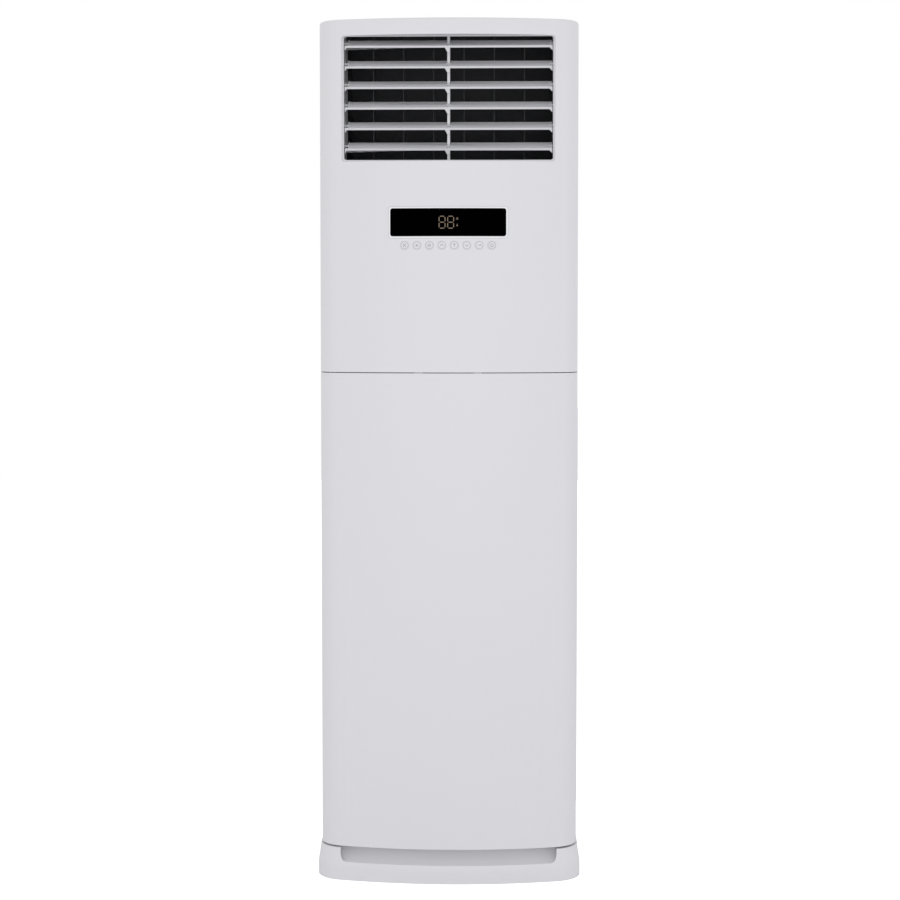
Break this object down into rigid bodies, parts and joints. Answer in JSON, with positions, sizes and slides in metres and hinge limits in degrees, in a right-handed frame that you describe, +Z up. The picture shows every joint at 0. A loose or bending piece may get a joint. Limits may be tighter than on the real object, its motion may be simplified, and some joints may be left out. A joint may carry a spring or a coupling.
{
  "type": "floor standing air conditioner",
  "caption": "Tall bow-fronted indoor cabinet air conditioner with linked louvers and vanes at the top outlet, a display with a row of keys, side intakes and a scroll blower.",
  "frame": {"origin": "on the floor, under the middle of the object's outer box", "axes": "+Z up, +X to the right of someone facing the front, the bowed front faces -Y"},
  "size_m": [0.548, 0.336, 1.77],
  "materials": {
    "cabinet_plastic": "satin off-white moulding",
    "painted_sheet": "off-white powder coat, fine texture",
    "galvanised_sheet": "plain zinc grey sheet",
    "outlet_plastic": "satin off-white moulding",
    "key_plastic": "satin off-white moulding with a thin grey ring",
    "display_lens": "clear lens with a black field, glossy",
    "circuit_board": "solder-masked board",
    "filter_net": "fine woven net in a plastic frame",
    "dark_plastic": "dark grey moulding",
    "wheel_plastic": "dark grey moulding",
    "motor_steel": "pressed steel can",
    "coil_fins": "close aluminium fins",
    "pipe_copper": "drawn copper tube",
    "tray_foam": "white insulation foam",
    "hose_plastic": "soft corrugated hose",
    "foot_rubber": "moulded rubber"
  },
  "bodies": {
    "cabinet": {"base_plinth": "cabinet_plastic", "base_pan": "galvanised_sheet", "foot_front_left": "foot_rubber", "foot_front_right": "foot_rubber", "foot_rear_left": "foot_rubber", "foot_rear_right": "foot_rubber", "left_side_panel": "painted_sheet", "right_side_panel": "painted_sheet", "back_panel": "painted_sheet", "wall_bracket": "galvanised_sheet", "pipe_grommet": "foot_rubber", "top_cover": "painted_sheet", "upper_front_panel": "cabinet_plastic", "outlet_frame": "outlet_plastic", "swing_motor": "motor_steel", "display_window": "display_lens", "display_board": "circuit_board", "scroll_casing": "dark_plastic", "inlet_ring": "dark_plastic", "fan_motor": "motor_steel", "motor_bracket": "galvanised_sheet", "evaporator": "coil_fins", "drain_pan": "tray_foam", "drain_hose": "hose_plastic", "gas_pipe": "pipe_copper", "liquid_pipe": "pipe_copper", "electric_box": "galvanised_sheet", "electric_box_cover": "galvanised_sheet", "duct_liner": "tray_foam", "duct_front_plate": "galvanised_sheet"},
    "lower_panel": {"lower_front_panel": "cabinet_plastic"},
    "left_intake": {"left_inlet_grille": "cabinet_plastic", "left_air_filter": "filter_net"},
    "right_intake": {"right_inlet_grille": "cabinet_plastic", "right_air_filter": "filter_net"},
    "blower_wheel": {"fan_wheel": "wheel_plastic"},
    "louver_link": {"louver_link": "outlet_plastic"},
    "vane_link": {"vane_link": "dark_plastic"},
    "swing_crank": {"swing_crank": "dark_plastic"},
    "louver_1": {"louver_1": "outlet_plastic"},
    "vane_1": {"vane_1": "dark_plastic"},
    "louver_2": {"louver_2": "outlet_plastic"},
    "vane_2": {"vane_2": "dark_plastic"},
    "louver_3": {"louver_3": "outlet_plastic"},
    "vane_3": {"vane_3": "dark_plastic"},
    "louver_4": {"louver_4": "outlet_plastic"},
    "vane_4": {"vane_4": "dark_plastic"},
    "louver_5": {"louver_5": "outlet_plastic"},
    "vane_5": {"vane_5": "dark_plastic"},
    "louver_6": {"louver_6": "outlet_plastic"},
    "vane_6": {"vane_6": "dark_plastic"},
    "key_1": {"key_1": "key_plastic"},
    "key_2": {"key_2": "key_plastic"},
    "key_3": {"key_3": "key_plastic"},
    "key_4": {"key_4": "key_plastic"},
    "key_5": {"key_5": "key_plastic"},
    "key_6": {"key_6": "key_plastic"},
    "key_7": {"key_7": "key_plastic"},
    "key_8": {"key_8": "key_plastic"}
  },
  "joints": [
    {"name": "wheel_spin", "type": "hinge", "parent": "cabinet", "child": "blower_wheel", "pos_m": [-0.015, 0, 0.4], "axis": [0, -1, 0], "continuous": true},
    {"name": "lower_panel_tilt", "type": "hinge", "parent": "cabinet", "child": "lower_panel", "pos_m": [0, -0.152, 1.056], "axis": [-1, 0, 0], "range_deg": [0, 10]},
    {"name": "left_intake_pull", "type": "slide", "parent": "cabinet", "child": "left_intake", "axis": [-1, 0, 0], "range_m": [0, 0.05]},
    {"name": "right_intake_pull", "type": "slide", "parent": "cabinet", "child": "right_intake", "axis": [1, 0, 0], "range_m": [0, 0.05]},
    {"name": "louver_1_tilt", "type": "hinge", "parent": "cabinet", "child": "louver_1", "pos_m": [0, -0.11, 1.7235], "axis": [1, 0, 0], "range_deg": [-46, 22]},
    {"name": "louver_2_tilt", "type": "hinge", "parent": "cabinet", "child": "louver_2", "pos_m": [0, -0.11, 1.68194], "axis": [1, 0, 0], "range_deg": [-46, 22]},
    {"name": "louver_3_tilt", "type": "hinge", "parent": "cabinet", "child": "louver_3", "pos_m": [0, -0.11, 1.64038], "axis": [1, 0, 0], "range_deg": [-46, 22]},
    {"name": "louver_4_tilt", "type": "hinge", "parent": "cabinet", "child": "louver_4", "pos_m": [0, -0.11, 1.59882], "axis": [1, 0, 0], "range_deg": [-46, 22]},
    {"name": "louver_5_tilt", "type": "hinge", "parent": "cabinet", "child": "louver_5", "pos_m": [0, -0.11, 1.55726], "axis": [1, 0, 0], "range_deg": [-46, 22]},
    {"name": "louver_6_tilt", "type": "hinge", "parent": "cabinet", "child": "louver_6", "pos_m": [0, -0.11, 1.5157], "axis": [1, 0, 0], "range_deg": [-46, 22]},
    {"name": "louver_link_turn", "type": "hinge", "parent": "louver_1", "child": "louver_link", "pos_m": [0, -0.09832, 1.7292], "axis": [1, 0, 0], "range_deg": [-22, 46]},
    {"name": "vane_1_turn", "type": "hinge", "parent": "cabinet", "child": "vane_1", "pos_m": [-0.155, -0.069, 1.613], "axis": [0, 0, 1], "range_deg": [-35, 35]},
    {"name": "vane_2_turn", "type": "hinge", "parent": "cabinet", "child": "vane_2", "pos_m": [-0.093, -0.069, 1.613], "axis": [0, 0, 1], "range_deg": [-35, 35]},
    {"name": "vane_3_turn", "type": "hinge", "parent": "cabinet", "child": "vane_3", "pos_m": [-0.031, -0.069, 1.613], "axis": [0, 0, 1], "range_deg": [-35, 35]},
    {"name": "vane_4_turn", "type": "hinge", "parent": "cabinet", "child": "vane_4", "pos_m": [0.031, -0.069, 1.613], "axis": [0, 0, 1], "range_deg": [-35, 35]},
    {"name": "vane_5_turn", "type": "hinge", "parent": "cabinet", "child": "vane_5", "pos_m": [0.093, -0.069, 1.613], "axis": [0, 0, 1], "range_deg": [-35, 35]},
    {"name": "vane_6_turn", "type": "hinge", "parent": "cabinet", "child": "vane_6", "pos_m": [0.155, -0.069, 1.613], "axis": [0, 0, 1], "range_deg": [-35, 35]},
    {"name": "vane_link_turn", "type": "hinge", "parent": "vane_1", "child": "vane_link", "pos_m": [-0.155, -0.057, 1.4915], "axis": [0, 0, 1], "range_deg": [-35, 35]},
    {"name": "swing_crank_turn", "type": "hinge", "parent": "cabinet", "child": "swing_crank", "pos_m": [0.187, -0.069, 1.484], "axis": [0, 0, 1], "range_deg": [-35, 35]},
    {"name": "key_1_press", "type": "slide", "parent": "cabinet", "child": "key_1", "axis": [0.0932, 0.9956, 0], "range_m": [0, 0.001], "stiffness_N_per_m": 800},
    {"name": "key_2_press", "type": "slide", "parent": "cabinet", "child": "key_2", "axis": [0.0666, 0.9978, 0], "range_m": [0, 0.001], "stiffness_N_per_m": 800},
    {"name": "key_3_press", "type": "slide", "parent": "cabinet", "child": "key_3", "axis": [0.0399, 0.9992, 0], "range_m": [0, 0.001], "stiffness_N_per_m": 800},
    {"name": "key_4_press", "type": "slide", "parent": "cabinet", "child": "key_4", "axis": [0.0133, 0.9999, 0], "range_m": [0, 0.001], "stiffness_N_per_m": 800},
    {"name": "key_5_press", "type": "slide", "parent": "cabinet", "child": "key_5", "axis": [-0.0133, 0.9999, 0], "range_m": [0, 0.001], "stiffness_N_per_m": 800},
    {"name": "key_6_press", "type": "slide", "parent": "cabinet", "child": "key_6", "axis": [-0.0399, 0.9992, 0], "range_m": [0, 0.001], "stiffness_N_per_m": 800},
    {"name": "key_7_press", "type": "slide", "parent": "cabinet", "child": "key_7", "axis": [-0.0666, 0.9978, 0], "range_m": [0, 0.001], "stiffness_N_per_m": 800},
    {"name": "key_8_press", "type": "slide", "parent": "cabinet", "child": "key_8", "axis": [-0.0932, 0.9956, 0], "range_m": [0, 0.001], "stiffness_N_per_m": 800}
  ],
  "couplings": [
    {"joint": "louver_2_tilt", "follows": "louver_1_tilt", "ratio": 1},
    {"joint": "louver_3_tilt", "follows": "louver_1_tilt", "ratio": 1},
    {"joint": "louver_4_tilt", "follows": "louver_1_tilt", "ratio": 1},
    {"joint": "louver_5_tilt", "follows": "louver_1_tilt", "ratio": 1},
    {"joint": "louver_6_tilt", "follows": "louver_1_tilt", "ratio": 1},
    {"joint": "louver_link_turn", "follows": "louver_1_tilt", "ratio": -1},
    {"joint": "vane_2_turn", "follows": "vane_1_turn", "ratio": 1},
    {"joint": "vane_3_turn", "follows": "vane_1_turn", "ratio": 1},
    {"joint": "vane_4_turn", "follows": "vane_1_turn", "ratio": 1},
    {"joint": "vane_5_turn", "follows": "vane_1_turn", "ratio": 1},
    {"joint": "vane_6_turn", "follows": "vane_1_turn", "ratio": 1},
    {"joint": "vane_link_turn", "follows": "vane_1_turn", "ratio": -1},
    {"joint": "swing_crank_turn", "follows": "vane_1_turn", "ratio": 1}
  ]
}
